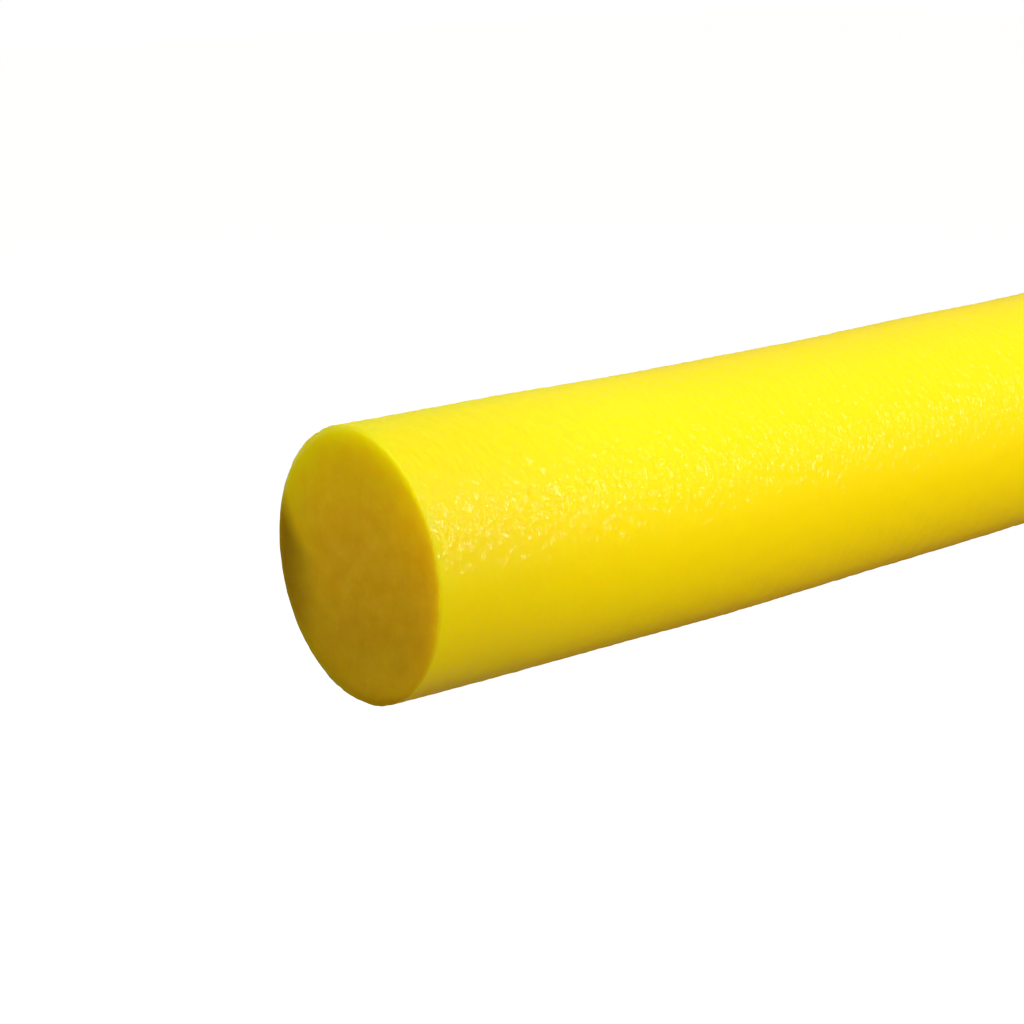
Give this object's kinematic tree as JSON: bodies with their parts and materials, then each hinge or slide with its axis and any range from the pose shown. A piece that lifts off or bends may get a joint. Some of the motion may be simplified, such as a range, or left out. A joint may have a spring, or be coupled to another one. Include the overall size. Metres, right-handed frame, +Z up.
{
  "type": "pool noodle",
  "caption": "Solid round foam pool noodle with square-cut ends, flexible along its whole length.",
  "frame": {"origin": "centre of the underside: halfway along the noodle, on the surface it rests on", "axes": "+X along the noodle, away from the end shown in the picture; +Z up; +Y to the left of +X"},
  "size_m": [1.6, 0.065, 0.0645],
  "materials": {
    "foam": "bright yellow closed-cell polyethylene foam: semi-gloss pebbled skin, matte where cut"
  },
  "bodies": {
    "length_01": {"foam_section_01": "foam"},
    "length_02": {"foam_section_02": "foam"},
    "length_03": {"foam_section_03": "foam"},
    "length_04": {"foam_section_04": "foam"},
    "length_05": {"foam_section_05": "foam"},
    "length_06": {"foam_section_06": "foam"},
    "length_07": {"foam_section_07": "foam"},
    "length_08": {"foam_section_08": "foam"},
    "length_09": {"foam_section_09": "foam"},
    "length_10": {"foam_section_10": "foam"},
    "length_11": {"foam_section_11": "foam"},
    "length_12": {"foam_section_12": "foam"},
    "length_13": {"foam_section_13": "foam"},
    "length_14": {"foam_section_14": "foam"},
    "length_15": {"foam_section_15": "foam"},
    "length_16": {"foam_section_16": "foam"}
  },
  "joints": [
    {"name": "bend_01_sideways", "type": "hinge", "parent": "length_01", "child": "length_02", "pos_m": [-0.7, 0, 0.032], "axis": [0, 0, 1], "range_deg": [-30, 30], "stiffness_Nm_per_rad": 8.8, "deforming": ["foam_section_02"]},
    {"name": "bend_02_upward", "type": "hinge", "parent": "length_02", "child": "length_03", "pos_m": [-0.6, 0, 0.032], "axis": [0, -1, 0], "range_deg": [-30, 30], "stiffness_Nm_per_rad": 8.8},
    {"name": "bend_03_sideways", "type": "hinge", "parent": "length_03", "child": "length_04", "pos_m": [-0.5, 0, 0.032], "axis": [0, 0, 1], "range_deg": [-30, 30], "stiffness_Nm_per_rad": 8.8, "deforming": ["foam_section_04"]},
    {"name": "bend_04_upward", "type": "hinge", "parent": "length_04", "child": "length_05", "pos_m": [-0.4, 0, 0.032], "axis": [0, -1, 0], "range_deg": [-30, 30], "stiffness_Nm_per_rad": 8.8},
    {"name": "bend_05_sideways", "type": "hinge", "parent": "length_05", "child": "length_06", "pos_m": [-0.3, 0, 0.032], "axis": [0, 0, 1], "range_deg": [-30, 30], "stiffness_Nm_per_rad": 8.8, "deforming": ["foam_section_06"]},
    {"name": "bend_06_upward", "type": "hinge", "parent": "length_06", "child": "length_07", "pos_m": [-0.2, 0, 0.032], "axis": [0, -1, 0], "range_deg": [-30, 30], "stiffness_Nm_per_rad": 8.8},
    {"name": "bend_07_sideways", "type": "hinge", "parent": "length_07", "child": "length_08", "pos_m": [-0.1, 0, 0.032], "axis": [0, 0, 1], "range_deg": [-30, 30], "stiffness_Nm_per_rad": 8.8, "deforming": ["foam_section_08"]},
    {"name": "bend_08_upward", "type": "hinge", "parent": "length_08", "child": "length_09", "pos_m": [0, 0, 0.032], "axis": [0, -1, 0], "range_deg": [-30, 30], "stiffness_Nm_per_rad": 8.8},
    {"name": "bend_09_sideways", "type": "hinge", "parent": "length_09", "child": "length_10", "pos_m": [0.1, 0, 0.032], "axis": [0, 0, 1], "range_deg": [-30, 30], "stiffness_Nm_per_rad": 8.8, "deforming": ["foam_section_10"]},
    {"name": "bend_10_upward", "type": "hinge", "parent": "length_10", "child": "length_11", "pos_m": [0.2, 0, 0.032], "axis": [0, -1, 0], "range_deg": [-30, 30], "stiffness_Nm_per_rad": 8.8},
    {"name": "bend_11_sideways", "type": "hinge", "parent": "length_11", "child": "length_12", "pos_m": [0.3, 0, 0.032], "axis": [0, 0, 1], "range_deg": [-30, 30], "stiffness_Nm_per_rad": 8.8, "deforming": ["foam_section_12"]},
    {"name": "bend_12_upward", "type": "hinge", "parent": "length_12", "child": "length_13", "pos_m": [0.4, 0, 0.032], "axis": [0, -1, 0], "range_deg": [-30, 30], "stiffness_Nm_per_rad": 8.8},
    {"name": "bend_13_sideways", "type": "hinge", "parent": "length_13", "child": "length_14", "pos_m": [0.5, 0, 0.032], "axis": [0, 0, 1], "range_deg": [-30, 30], "stiffness_Nm_per_rad": 8.8, "deforming": ["foam_section_14"]},
    {"name": "bend_14_upward", "type": "hinge", "parent": "length_14", "child": "length_15", "pos_m": [0.6, 0, 0.032], "axis": [0, -1, 0], "range_deg": [-30, 30], "stiffness_Nm_per_rad": 8.8},
    {"name": "bend_15_sideways", "type": "hinge", "parent": "length_15", "child": "length_16", "pos_m": [0.7, 0, 0.032], "axis": [0, 0, 1], "range_deg": [-30, 30], "stiffness_Nm_per_rad": 8.8, "deforming": ["foam_section_16"]}
  ]
}
